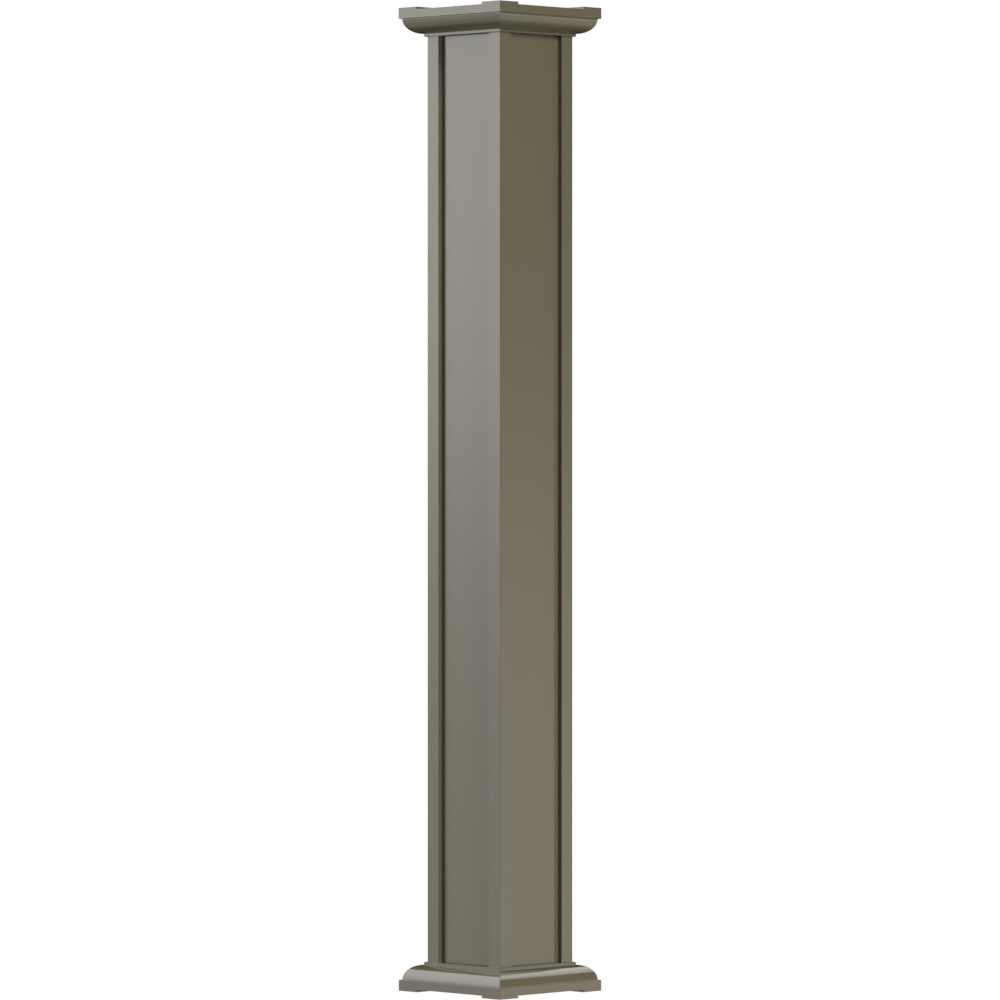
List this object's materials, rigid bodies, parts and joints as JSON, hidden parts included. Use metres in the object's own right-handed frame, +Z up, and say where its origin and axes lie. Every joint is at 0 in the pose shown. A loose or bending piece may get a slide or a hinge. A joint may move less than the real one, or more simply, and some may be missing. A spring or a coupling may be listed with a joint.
{
  "type": "square aluminum column",
  "caption": "Square porch column with a recessed panel on each face, a stepped quarter-round base on corner pads and a matching capital, hollow for a post.",
  "frame": {"origin": "middle of the column's square footprint, on the ground under the base's pads", "axes": "+Z up along the shaft, X and Y square to the shaft's faces"},
  "size_m": [0.3556, 0.3556, 2.4384],
  "materials": {
    "powder_coat": "warm grey-olive semi-gloss powder coat on aluminium"
  },
  "bodies": {
    "root": {"base_casting": "powder_coat", "capital_casting": "powder_coat", "shaft_side_front": "powder_coat", "shaft_side_right": "powder_coat", "shaft_side_back": "powder_coat", "shaft_side_left": "powder_coat"}
  },
  "joints": []
}
